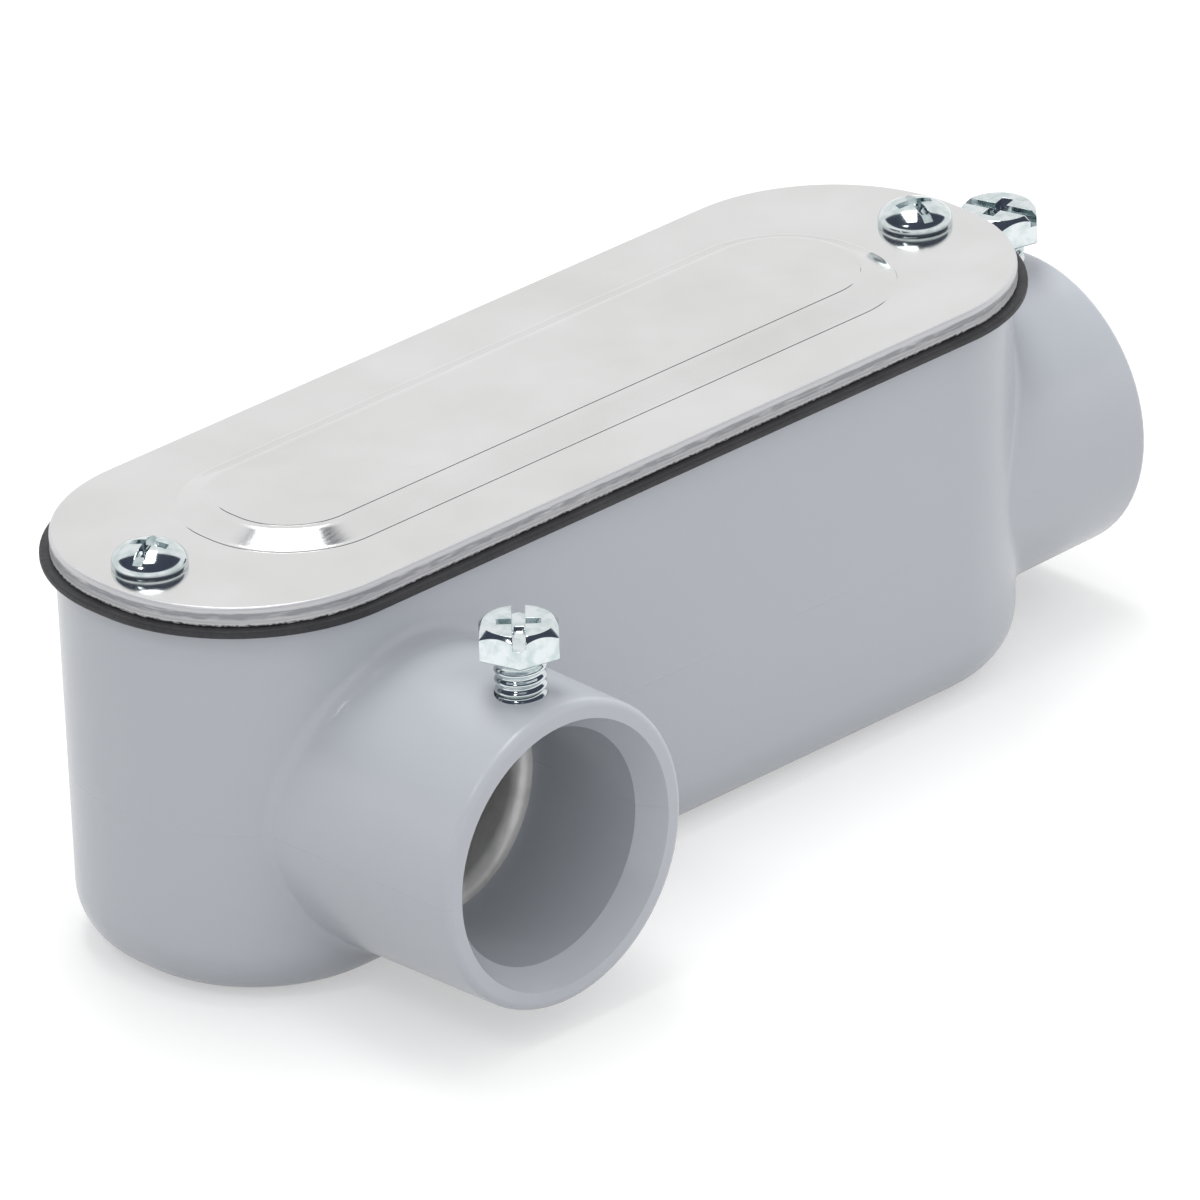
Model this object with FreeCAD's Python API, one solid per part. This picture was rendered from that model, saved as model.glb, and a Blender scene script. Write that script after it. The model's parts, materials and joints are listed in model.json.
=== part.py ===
import FreeCAD, Part
import math
import os

# Set-screw conduit body of the LR pattern, 1 inch trade size, in millimetres.
# The origin is the centre of the flat underside. +X runs along the body to the end hub,
# -Y is the side that the other hub leaves from, and +Z is up through the cover.

Vector = FreeCAD.Vector

# --- Conduit and the two hubs that take it --------------------------------------------
conduit_diameter = 29.54        # electrical metallic tubing, 1 inch trade size
conduit_clearance = 0.46        # on the diameter
hub_side_step = 3.05            # housing's side to the hub's outside, at the mouth
hub_floor_step = 3.9            # underside to the hub's outside, at the mouth
hub_rim_step = 7.5              # hub's crest to the housing's rim
hub_draft_degrees = 0.8
hub_rim_share = 0.24            # round of the rim, as a share of the hub's wall
lead_in_share = 0.47            # how much the lead-in cone thins the hub's wall
lead_in_depth = 3.5
socket_depth = 21.0             # mouth to conduit stop
throat_step = 2.0               # how far the stop stands in from the bore
throat_lip_round = 1.9
stop_thickness = 3.0            # end hub: stop face to the cavity
side_hub_inset = 27.9           # housing's closed end to the side hub's axis
side_hub_reach = 25.1           # mouth to the housing's side
end_hub_reach = 13.7            # mouth to the housing's end
hub_root_fillet = 2.4

# --- Housing: a die-cast trough --------------------------------------------------------
housing_length = 143.2
housing_width = 45.1
housing_end_flat = 2.3          # straight middle of each rounded end
housing_draft_degrees = 0.7
base_fillet = 7.7
wall = 2.8
floor = 2.8
cavity_chamfer = 3.0

# --- Cover, gasket and cover screws ----------------------------------------------------
cover_overhang = 0.6            # cover beyond the housing's rim, all round
cover_thickness = 2.5
cover_edge_round = 0.6
panel_screw_gap = 9.5           # screw axis to the raised panel's outer outline
panel_width = 27.8
panel_end_flat = 1.4
panel_slope = 3.4               # plan width of the sloping border
panel_rise = 1.5
gasket_thickness = 1.0
gasket_overhang = 1.25          # gasket beyond the cover, all round
gasket_window_margin = 7.0      # gasket left beside each screw, towards the middle
gasket_side_seat = 3.3          # housing's side to the gasket's window
gasket_window_corner = 9.0
cover_screw_inset = 6.8         # housing's end to the screw axis
boss_radius = 5.2
boss_hole_spare = 2.0           # drilled deeper than the screw reaches

cover_screw_diameter = 4.82     # number 10
cover_screw_length = 9.5        # under the head
cover_screw_clearance = 0.4     # radial, in the cover and the gasket
cover_screw_head_diameter = 9.3
cover_screw_head_height = 3.0
cover_screw_head_round = 2.2

# --- Set screws: slotted hexagon heads -------------------------------------------------
set_screw_diameter = 6.35       # 1/4 inch
set_screw_length = 8.3          # under the head
set_screw_head_flats = 9.5
set_screw_head_height = 4.0
set_screw_point_chamfer = 0.8
side_set_screw_inset = 6.7      # hub mouth to screw axis
end_set_screw_inset = 5.9
side_set_screw_exposed = 5.3    # hub crest to the underside of the head
end_set_screw_exposed = 4.2
side_set_screw_turn = 46.3      # degrees, a corner of the hexagon from +X
end_set_screw_turn = 106.3
cover_screw_turns = (20.0, 70.0)

thread_clearance = 0.05         # radial, plain shank in plain hole
slot_width = 1.4
slot_depth = 1.5
cross_length = 5.2
round_chord_count = 2           # a small round is turned as this many short cones
hub_chord_count = 5             # the same for the hubs' larger rounds
cut_margin = 1.0                # how far a cutting shape starts clear of what it cuts

# --- Values that follow from those above -----------------------------------------------
bore_radius = (conduit_diameter + conduit_clearance) / 2
hub_radius = housing_width / 2 - hub_side_step
hub_wall = hub_radius - bore_radius
hub_rim_round = hub_rim_share * hub_wall
hub_axis_height = hub_floor_step + hub_radius
throat_radius = bore_radius - throat_step
hub_crest = hub_axis_height + hub_radius
rim_height = hub_crest + hub_rim_step
housing_corner_radius = (housing_width - housing_end_flat) / 2
side_hub_station = side_hub_inset - housing_length / 2
cover_length = housing_length + 2 * cover_overhang
cover_width = housing_width + 2 * cover_overhang
cover_corner_radius = housing_corner_radius + cover_overhang
cover_screw_spacing = housing_length - 2 * cover_screw_inset
panel_length = cover_screw_spacing - 2 * panel_screw_gap
panel_corner_radius = (panel_width - panel_end_flat) / 2
cover_underside = rim_height + gasket_thickness
cover_top = cover_underside + cover_thickness
side_mouth = -(housing_width / 2 + side_hub_reach)
end_mouth = housing_length / 2 + end_hub_reach
bulkhead_face = end_mouth - socket_depth - stop_thickness
screw_hole_bottom = cover_top - cover_screw_length - boss_hole_spare


def rounded_wire(length, width, radius, height):
    """Rectangle with round corners, centred on the Z axis."""
    corner_x = length / 2 - radius
    corner_y = width / 2 - radius
    centres = [(corner_x, corner_y), (-corner_x, corner_y), (-corner_x, -corner_y), (corner_x, -corner_y)]
    arcs = []
    for quarter, (x, y) in enumerate(centres):
        circle = Part.Circle(Vector(x, y, height), Vector(0, 0, 1), radius)
        start = quarter * math.pi / 2
        arcs.append(Part.ArcOfCircle(circle, start, start + math.pi / 2))
    edges = []
    for arc, following in zip(arcs, arcs[1:] + arcs[:1]):
        edges.append(arc.toShape())
        if arc.EndPoint.distanceToPoint(following.StartPoint) > 1e-6:
            edges.append(Part.LineSegment(arc.EndPoint, following.StartPoint).toShape())
    return Part.Wire(edges)


def rounded_plate(length, width, radius, bottom, thickness):
    face = Part.Face(rounded_wire(length, width, radius, bottom))
    return face.extrude(Vector(0, 0, thickness))


def drafted_block(length, width, radius, bottom, top, draft_degrees):
    """Block of the given plan at its top that narrows evenly towards its bottom."""
    inset = (top - bottom) * math.tan(math.radians(draft_degrees))
    lower = rounded_wire(length - 2 * inset, width - 2 * inset, radius - inset, bottom)
    upper = rounded_wire(length, width, radius, top)
    return Part.makeLoft([lower, upper], True, True)


def edges_at_height(shape, height):
    return [edge for edge in shape.Edges
            if abs(edge.BoundBox.ZMin - height) < 1e-4 and abs(edge.BoundBox.ZMax - height) < 1e-4]


def round_points(centre_x, centre_y, radius, start_degrees, end_degrees, chords):
    """Points along a small round, whose chords turn into short cones."""
    points = []
    for number in range(chords + 1):
        angle = math.radians(start_degrees + (end_degrees - start_degrees) * number / chords)
        points.append((centre_x + radius * math.cos(angle), centre_y + radius * math.sin(angle)))
    return points


def revolved(outline):
    """Solid of revolution about X from points (distance along X, radius)."""
    corners = [Vector(along, 0, across) for along, across in outline]
    face = Part.Face(Part.makePolygon(corners + corners[:1]))
    return face.revolve(Vector(0, 0, 0), Vector(1, 0, 0), 360)


def onto_hub(shape, hub):
    """Turn and move a shape built along +X from its mouth at x = 0 onto a hub."""
    placed = shape.copy()
    if hub == "side":
        placed.rotate(Vector(0, 0, 0), Vector(0, 0, 1), -90)
        placed.translate(Vector(side_hub_station, side_mouth, hub_axis_height))
    else:
        placed.translate(Vector(end_mouth, 0, hub_axis_height))
    return placed


def hub_outside(depth):
    """Outside of a hub from its mouth at x = 0 inwards, with a rounded rim."""
    root_radius = hub_radius + depth * math.tan(math.radians(hub_draft_degrees))
    rim = round_points(-hub_rim_round, hub_radius - hub_rim_round, hub_rim_round, 90, 0, hub_chord_count)
    return revolved([(-depth, 0), (-depth, root_radius)] + rim + [(0, 0)])


def hub_inside(depth):
    """Lead-in cone, conduit socket, rounded stop and throat, from the mouth at x = 0."""
    mouth_radius = bore_radius + lead_in_share * hub_wall
    lip = round_points(-socket_depth - throat_lip_round, throat_radius + throat_lip_round,
                       throat_lip_round, 0, -90, hub_chord_count)
    return revolved([(cut_margin, 0), (cut_margin, mouth_radius), (0, mouth_radius),
                     (-lead_in_depth, bore_radius), (-socket_depth, bore_radius)]
                    + lip + [(-depth, throat_radius), (-depth, 0)])


def hub_root_edges(shape, hub):
    """Edges where a hub's outside meets the trough."""
    found = []
    for edge in shape.Edges:
        inside_mouth = True
        on_hub = True
        for fraction in (0.1, 0.3, 0.5, 0.7, 0.9):
            first, last = edge.ParameterRange
            point = edge.valueAt(first + fraction * (last - first))
            if hub == "side":
                depth = point.y - side_mouth
                across = math.hypot(point.x - side_hub_station, point.z - hub_axis_height)
            else:
                depth = end_mouth - point.x
                across = math.hypot(point.y, point.z - hub_axis_height)
            radius = hub_radius + depth * math.tan(math.radians(hub_draft_degrees))
            on_hub = on_hub and abs(across - radius) < 0.1
            inside_mouth = inside_mouth and depth > end_hub_reach / 2
        if on_hub and inside_mouth and edge.Curve.TypeId != "Part::GeomLine":
            found.append(edge)
    return found


def boss(station, bottom):
    """Round pillar for a cover screw, from the rim down."""
    return Part.makeCylinder(boss_radius, rim_height - bottom, Vector(station, 0, bottom))


def cavity():
    """Space inside the trough, open at the rim, round the bulkhead and the bosses."""
    space = drafted_block(housing_length - 2 * wall, housing_width - 2 * wall,
                          housing_corner_radius - wall, floor, rim_height, housing_draft_degrees)
    space = space.makeChamfer(cavity_chamfer, edges_at_height(space, floor))
    bulkhead = Part.makeBox(housing_length, 2 * housing_width, hub_crest,
                            Vector(bulkhead_face, -housing_width, 0))
    far_boss = boss(cover_screw_spacing / 2, hub_crest - hub_wall)
    near_boss = boss(-cover_screw_spacing / 2, 0)
    return space.cut(bulkhead).cut(far_boss).cut(near_boss)


def screw_hole(station):
    return Part.makeCylinder(cover_screw_diameter / 2 + thread_clearance,
                             rim_height - screw_hole_bottom + cut_margin,
                             Vector(station, 0, screw_hole_bottom))


def set_screw_hole(place):
    return Part.makeCylinder(set_screw_diameter / 2 + thread_clearance, 2 * hub_wall + bore_radius,
                             Vector(place.x, place.y, hub_axis_height))


def make_housing(set_screw_places):
    trough = drafted_block(housing_length, housing_width, housing_corner_radius,
                           0, rim_height, housing_draft_degrees)
    trough = trough.makeFillet(base_fillet, edges_at_height(trough, 0))
    side_hub = onto_hub(hub_outside(side_hub_reach + housing_width / 2), "side")
    end_hub = onto_hub(hub_outside(end_hub_reach + housing_width / 2), "end")
    solid = trough.fuse([side_hub, end_hub]).removeSplitter()
    for hub in ("side", "end"):
        solid = solid.makeFillet(hub_root_fillet, hub_root_edges(solid, hub))
    side_bore = onto_hub(hub_inside(side_hub_reach + 2 * wall), "side")
    end_bore = onto_hub(hub_inside(end_mouth - bulkhead_face + cut_margin), "end")
    cuts = [cavity(), side_bore, end_bore]
    for side in (-1, 1):
        cuts.append(screw_hole(side * cover_screw_spacing / 2))
    for place in set_screw_places:
        cuts.append(set_screw_hole(place))
    for cut in cuts:
        solid = solid.cut(cut)
    return solid


def screw_openings(radius, bottom, height):
    return [Part.makeCylinder(radius, height, Vector(side * cover_screw_spacing / 2, 0, bottom))
            for side in (-1, 1)]


def make_gasket():
    grow = cover_overhang + gasket_overhang
    sheet = rounded_plate(housing_length + 2 * grow, housing_width + 2 * grow,
                          housing_corner_radius + grow, rim_height, gasket_thickness)
    window = rounded_plate(cover_screw_spacing - 2 * gasket_window_margin,
                           housing_width - 2 * gasket_side_seat, gasket_window_corner,
                           rim_height - cut_margin, gasket_thickness + 2 * cut_margin)
    holes = screw_openings(cover_screw_diameter / 2 + cover_screw_clearance,
                           rim_height - cut_margin, gasket_thickness + 2 * cut_margin)
    return sheet.cut([window] + holes)


def raised_panel(base, rise):
    """Frustum of the pressed panel: sloping border and flat top."""
    lower = rounded_wire(panel_length, panel_width, panel_corner_radius, base)
    upper = rounded_wire(panel_length - 2 * panel_slope, panel_width - 2 * panel_slope,
                         panel_corner_radius - panel_slope, base + rise)
    return Part.makeLoft([lower, upper], True, True)


def make_cover():
    outlines = [rounded_wire(cover_length, cover_width, cover_corner_radius, cover_underside)]
    edge = round_points(cover_edge_round, cover_top - cover_edge_round, cover_edge_round,
                        180, 90, round_chord_count)
    for inset, height in edge:
        outlines.append(rounded_wire(cover_length - 2 * inset, cover_width - 2 * inset,
                                     cover_corner_radius - inset, height))
    plate = Part.makeLoft(outlines, True, True)
    plate = plate.fuse(raised_panel(cover_top, panel_rise))
    plate = plate.cut(raised_panel(cover_underside, panel_rise))
    holes = screw_openings(cover_screw_diameter / 2 + cover_screw_clearance,
                           cover_underside - cut_margin, cover_thickness + 2 * cut_margin)
    return plate.cut(holes)


def drive_recess(top, turn_degrees, head_width):
    """Slot across the head with a shorter cross arm, cut down from its top."""
    slot = Part.makeBox(2 * head_width, slot_width, slot_depth + cut_margin,
                        Vector(-head_width, -slot_width / 2, top - slot_depth))
    arm = Part.makeBox(slot_width, cross_length, slot_depth + cut_margin,
                       Vector(-slot_width / 2, -cross_length / 2, top - slot_depth))
    recess = slot.fuse(arm)
    recess.rotate(Vector(0, 0, 0), Vector(0, 0, 1), turn_degrees)
    return recess


def pan_head():
    """Domed round head standing on z = 0."""
    radius = cover_screw_head_diameter / 2
    crown = round_points(cover_screw_head_height - cover_screw_head_round, radius - cover_screw_head_round,
                         cover_screw_head_round, 90, 0, round_chord_count)
    head = revolved([(0, 0), (0, radius)] + crown + [(cover_screw_head_height, 0)])
    head.rotate(Vector(0, 0, 0), Vector(0, 1, 0), -90)
    return head


def make_cover_screw(station, turn_degrees):
    shank = Part.makeCylinder(cover_screw_diameter / 2, cover_screw_length, Vector(0, 0, -cover_screw_length))
    screw = pan_head().fuse(shank)
    screw = screw.cut(drive_recess(cover_screw_head_height, turn_degrees, cover_screw_head_diameter))
    screw.translate(Vector(station, 0, cover_top))
    return screw


def hexagon_head(turn_degrees):
    """Hexagon with a chamfered crown, standing on z = 0."""
    corner_radius = set_screw_head_flats / math.sqrt(3)
    corners = []
    for number in range(7):
        angle = math.radians(turn_degrees + 60 * number)
        corners.append(Vector(corner_radius * math.cos(angle), corner_radius * math.sin(angle), 0))
    prism = Part.Face(Part.makePolygon(corners)).extrude(Vector(0, 0, set_screw_head_height))
    crown_radius = 0.48 * set_screw_head_flats
    crown_fall = (corner_radius - crown_radius) * math.tan(math.radians(30))
    crown_base = set_screw_head_height - crown_fall
    crown = Part.makeCylinder(corner_radius, crown_base)
    crown = crown.fuse(Part.makeCone(corner_radius, crown_radius, crown_fall, Vector(0, 0, crown_base)))
    return prism.common(crown)


def make_set_screw(place, exposed, turn_degrees):
    radius = set_screw_diameter / 2
    shank_height = set_screw_length - set_screw_point_chamfer
    shank = Part.makeCylinder(radius, shank_height, Vector(0, 0, -shank_height))
    point = Part.makeCone(radius - set_screw_point_chamfer, radius, set_screw_point_chamfer,
                          Vector(0, 0, -set_screw_length))
    screw = hexagon_head(turn_degrees).fuse([shank, point])
    screw = screw.cut(drive_recess(set_screw_head_height, turn_degrees, set_screw_head_flats))
    screw.translate(Vector(place.x, place.y, hub_crest + exposed))
    return screw.removeSplitter()


def main():
    side_place = Vector(side_hub_station, side_mouth + side_set_screw_inset, 0)
    end_place = Vector(end_mouth - end_set_screw_inset, 0, 0)
    near_turn, far_turn = cover_screw_turns
    nodes = {
        "housing": make_housing([side_place, end_place]),
        "cover_gasket": make_gasket(),
        "cover": make_cover(),
        "cover_screw_side_hub_end": make_cover_screw(-cover_screw_spacing / 2, near_turn),
        "cover_screw_end_hub_end": make_cover_screw(cover_screw_spacing / 2, far_turn),
        "side_hub_set_screw": make_set_screw(side_place, side_set_screw_exposed, side_set_screw_turn),
        "end_hub_set_screw": make_set_screw(end_place, end_set_screw_exposed, end_set_screw_turn),
    }
    os.makedirs("parts", exist_ok=True)
    for name, shape in nodes.items():
        if not shape.isValid():
            raise RuntimeError(name + " is not a valid solid")
        shape.exportStep(os.path.join("parts", name + ".step"))
        print(name, "solids", len(shape.Solids), "volume", round(shape.Volume, 1))


main()
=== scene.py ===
"""Dresses a die-cast conduit body: painted casting, pressed cover, rubber gasket and zinc-plated screws."""

import json
import logging
import math
from dataclasses import dataclass
from enum import Enum
from functools import partial

import bmesh
import bpy
from bpy.types import ID, Material, Node, NodeSocket, NodeTree, Object
from mathutils import Matrix, Vector


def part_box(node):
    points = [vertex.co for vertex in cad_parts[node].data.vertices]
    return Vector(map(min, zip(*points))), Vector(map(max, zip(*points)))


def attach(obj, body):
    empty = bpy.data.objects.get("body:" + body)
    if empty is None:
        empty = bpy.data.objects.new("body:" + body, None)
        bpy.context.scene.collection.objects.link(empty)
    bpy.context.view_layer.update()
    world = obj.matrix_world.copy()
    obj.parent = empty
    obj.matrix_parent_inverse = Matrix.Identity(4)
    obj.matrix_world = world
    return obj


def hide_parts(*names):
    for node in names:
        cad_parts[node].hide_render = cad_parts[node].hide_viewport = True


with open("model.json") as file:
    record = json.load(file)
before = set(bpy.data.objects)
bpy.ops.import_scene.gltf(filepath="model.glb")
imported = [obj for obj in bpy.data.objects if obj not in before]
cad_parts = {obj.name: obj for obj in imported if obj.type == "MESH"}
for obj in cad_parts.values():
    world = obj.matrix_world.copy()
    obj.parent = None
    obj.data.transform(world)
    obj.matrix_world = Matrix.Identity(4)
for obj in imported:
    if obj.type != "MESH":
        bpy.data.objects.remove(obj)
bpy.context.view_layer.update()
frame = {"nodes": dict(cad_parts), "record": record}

log = logging.getLogger("conduit_body")

Value = float | NodeSocket
Stop = tuple[float, str]
Pair = tuple[float, float]
Point = tuple[float, float, float]

MM = 0.001
WELD = 2e-6                             # points nearer than this in a packed or wound mesh are one
COVER_SCREW_HOLE = 2.81 * MM            # radius, in the cover and the gasket
COVER_SCREWS = ("cover_screw_side_hub_end", "cover_screw_end_hub_end")


class Body(Enum):
    """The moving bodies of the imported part."""

    CASTING = "conduit_body"
    SIDE_SET_SCREW = "side_set_screw"
    END_SET_SCREW = "end_set_screw"
    SIDE_END_COVER_SCREW = "cover_screw_a"
    FAR_END_COVER_SCREW = "cover_screw_b"


class Slot(Enum):
    """The record's material slots."""

    PAINT = "painted_casting"
    COVER = "cover_sheet"
    RUBBER = "gasket_rubber"
    ZINC = "plated_steel"


def linear(hex_colour: str) -> tuple[float, float, float, float]:
    """Turns an sRGB hex colour into the linear colour that a socket takes.

    Args:
        hex_colour: Six hex digits, with or without a leading hash.

    Returns:
        Red, green, blue and an alpha of 1.
    """
    digits = hex_colour.lstrip("#")
    channels = [int(digits[start:start + 2], 16) / 255 for start in (0, 2, 4)]
    red, green, blue = (c / 12.92 if c <= 0.04045 else ((c + 0.055) / 1.055) ** 2.4 for c in channels)
    return red, green, blue, 1.0


def add_node(tree: NodeTree, kind: str, inputs: dict | None = None, **settings) -> Node:
    """Adds a node to a tree with its settings, values and links.

    Args:
        tree: The node tree to add to.
        kind: The node's type name.
        inputs: Input name or number to a value, or to the output socket that feeds it.
        **settings: The node's own properties.

    Returns:
        The new node.
    """
    node = tree.nodes.new(kind)
    for name, value in settings.items():
        setattr(node, name, value)
    for key, value in (inputs or {}).items():
        if isinstance(value, NodeSocket):
            tree.links.new(value, node.inputs[key])
        else:
            node.inputs[key].default_value = value
    return node


def empty_material(name: str) -> tuple[Material, NodeTree]:
    """Makes a material with an empty node tree and returns both."""
    material = bpy.data.materials.new(name)
    material.use_nodes = True
    material.node_tree.nodes.clear()
    return material, material.node_tree


def grain(tree: NodeTree, spacing_mm: float, detail: float = 2.0,
          stretch: Point = (1.0, 1.0, 1.0)) -> NodeSocket:
    """Adds noise on Object coordinates.

    Args:
        tree: The material's node tree.
        spacing_mm: Real distance from one lump to the next.
        detail: Octaves of the noise.
        stretch: How many times closer the lumps lie along X, Y and Z.

    Returns:
        The noise's value, about 0.5 on average.
    """
    place = add_node(tree, "ShaderNodeTexCoord")
    mapped = add_node(tree, "ShaderNodeMapping", {"Vector": place.outputs["Object"], "Scale": stretch})
    noise = add_node(tree, "ShaderNodeTexNoise",
                     {"Vector": mapped.outputs["Vector"], "Scale": 1.0 / (spacing_mm * MM), "Detail": detail})
    return noise.outputs[0]


def ranged(tree: NodeTree, value: NodeSocket, before: Pair, after: tuple[Value, Value]) -> NodeSocket:
    """Maps a value from one range to another, clamped, and returns the output socket."""
    node = add_node(tree, "ShaderNodeMapRange",
                    {"Value": value, "From Min": before[0], "From Max": before[1],
                     "To Min": after[0], "To Max": after[1]})
    return node.outputs["Result"]


def height_up(tree: NodeTree) -> NodeSocket:
    """Adds the height above the object's origin and returns it."""
    place = add_node(tree, "ShaderNodeTexCoord")
    return add_node(tree, "ShaderNodeSeparateXYZ", {"Vector": place.outputs["Object"]}).outputs["Z"]


def blended(tree: NodeTree, value: NodeSocket, low: Stop, high: Stop) -> NodeSocket:
    """Turns a value into a colour between two stops, each a (position, hex colour), and returns it."""
    ramp = add_node(tree, "ShaderNodeValToRGB", {"Fac": value})
    for element, (position, colour) in zip(ramp.color_ramp.elements, (low, high)):
        element.position = position
        element.color = linear(colour)
    return ramp.outputs["Color"]


def mixed(tree: NodeTree, share: Value, first: Value | tuple, second: Value | tuple,
          blend: str = "MIX") -> NodeSocket:
    """Mixes two colours, or colour sockets, and returns the result."""
    node = add_node(tree, "ShaderNodeMix", data_type="RGBA", blend_type=blend)
    colours = [socket for socket in node.inputs if socket.type == "RGBA"]
    for socket, value in zip([node.inputs[0]] + colours, (share, first, second)):
        if isinstance(value, NodeSocket):
            tree.links.new(value, socket)
        else:
            socket.default_value = value
    return next(socket for socket in node.outputs if socket.type == "RGBA")


def calculated(tree: NodeTree, operation: str, first: Value, second: Value = 0.0) -> NodeSocket:
    """Adds a Math node and returns its result."""
    return add_node(tree, "ShaderNodeMath", {0: first, 1: second}, operation=operation).outputs[0]


def along(tree: NodeTree, place: NodeSocket, direction: Vector) -> NodeSocket:
    """Adds how far a place lies along a direction and returns it."""
    product = add_node(tree, "ShaderNodeVectorMath", {0: place, 1: direction}, operation="DOT_PRODUCT")
    return product.outputs["Value"]


def bumped(tree: NodeTree, strength: float, depth_mm: float, height: NodeSocket,
           below: NodeSocket | None = None) -> NodeSocket:
    """Adds relief to a surface.

    Args:
        tree: The material's node tree.
        strength: Share of the relief that shows.
        depth_mm: Real depth of the relief.
        height: The relief, from 0 to 1.
        below: The normal of a coarser relief that carries this one.

    Returns:
        The normal.
    """
    sockets = {"Strength": strength, "Distance": depth_mm * MM, "Height": height}
    if below:
        sockets["Normal"] = below
    return add_node(tree, "ShaderNodeBump", sockets).outputs["Normal"]


def surfaced(material: Material, colour: NodeSocket, roughness: NodeSocket, normal: NodeSocket,
             **sockets: float) -> Material:
    """Ends a material in a Principled shader, with further sockets by name, and returns the material."""
    shader = add_node(material.node_tree, "ShaderNodeBsdfPrincipled",
                      {"Base Color": colour, "Roughness": roughness, "Normal": normal, **sockets})
    add_node(material.node_tree, "ShaderNodeOutputMaterial", {"Surface": shader.outputs["BSDF"]})
    return material


@dataclass(frozen=True)
class PaintedCasting:
    """Air-dried grey enamel sprayed on die-cast aluminium: satin, faintly grainy from the casting."""

    colour: str = "#B8BCC3"
    thin_colour: str = "#BABEC5"
    roughness: Pair = (0.22, 0.26)
    grit_spacing_mm: float = 0.28       # skin of the casting, drawn coarser than real so that it shows
    cloud_spacing_mm: float = 22.0      # thicker and thinner patches of the coat
    relief_mm: float = 0.12
    parting_height: float = 23.4 * MM   # where the two halves of the die meet
    parting_half_width: float = 0.22 * MM
    parting_patch_mm: float = 14.0      # from one stretch where the line shows to the next

    def material(self) -> Material:
        """Builds the paint's node material."""
        material, tree = empty_material("sprayed_grey_enamel")
        clouds = grain(tree, self.cloud_spacing_mm, 0.0)
        colour = blended(tree, clouds, (0.0, self.colour), (1.0, self.thin_colour))
        roughness = ranged(tree, clouds, (0.0, 1.0), self.roughness)
        grit = bumped(tree, 0.03, self.relief_mm, grain(tree, self.grit_spacing_mm, 0.0))
        line = bumped(tree, 0.35, self.relief_mm, self.parting_line(tree), grit)
        return surfaced(material, colour, roughness, line, IOR=1.5)

    def parting_line(self, tree: NodeTree) -> NodeSocket:
        """Adds the fine trimmed ridge at the dies' meeting height, fading in and out along its way."""
        off = calculated(tree, "SUBTRACT", height_up(tree), self.parting_height)
        away = calculated(tree, "ABSOLUTE", off)
        ridge = ranged(tree, away, (0.0, self.parting_half_width), (1.0, 0.0))
        fading = ranged(tree, grain(tree, self.parting_patch_mm), (0.42, 0.62), (0.0, 1.0))
        return calculated(tree, "MULTIPLY", ridge, fading)


@dataclass(frozen=True)
class BareCasting:
    """Die-cast aluminium that the spray didn't reach: dull silver, with a smoother skin in patches."""

    colour: str = "#E8E7E5"
    stained_colour: str = "#C9C7C3"
    roughness: Pair = (0.30, 0.46)
    metallic: float = 0.35              # the dull oxide skin scatters more than half of the light
    skin_spacing_mm: float = 1.2
    stain_spacing_mm: float = 6.0

    def material(self) -> Material:
        """Builds the bare casting's node material."""
        material, tree = empty_material("bare_die_cast_aluminium")
        stains = grain(tree, self.stain_spacing_mm, 3.0)
        colour = blended(tree, stains, (0.3, self.stained_colour), (0.6, self.colour))
        skin = grain(tree, self.skin_spacing_mm, 3.0)
        roughness = ranged(tree, skin, (0.3, 0.7), self.roughness)
        return surfaced(material, colour, roughness, bumped(tree, 0.3, 0.2, skin), Metallic=self.metallic)


@dataclass(frozen=True)
class MillAluminium:
    """Rolled aluminium sheet in its mill finish: pale, with fine rolling lines along the strip."""

    colour: str = "#DEDEDE"
    dull_colour: str = "#D4D4D3"
    roughness: Pair = (0.11, 0.15)
    line_spacing_mm: float = 0.35       # rolling lines, drawn coarser than real so that they show
    line_stretch: float = 60.0          # how much longer a line is than it is wide
    cloud_spacing_mm: float = 16.0

    def material(self) -> Material:
        """Builds the sheet's node material, with its lines along X."""
        material, tree = empty_material("mill_finish_aluminium_sheet")
        lines = grain(tree, self.line_spacing_mm * self.line_stretch, 3.0,
                      (1.0, self.line_stretch, self.line_stretch))
        clouds = grain(tree, self.cloud_spacing_mm, 3.0)
        colour = blended(tree, clouds, (0.3, self.dull_colour), (0.7, self.colour))
        roughness = ranged(tree, lines, (0.3, 0.7), self.roughness)
        relief = bumped(tree, 0.02, 0.05, lines)
        return surfaced(material, colour, roughness, relief, Metallic=1.0, Anisotropic=0.25)


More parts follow.
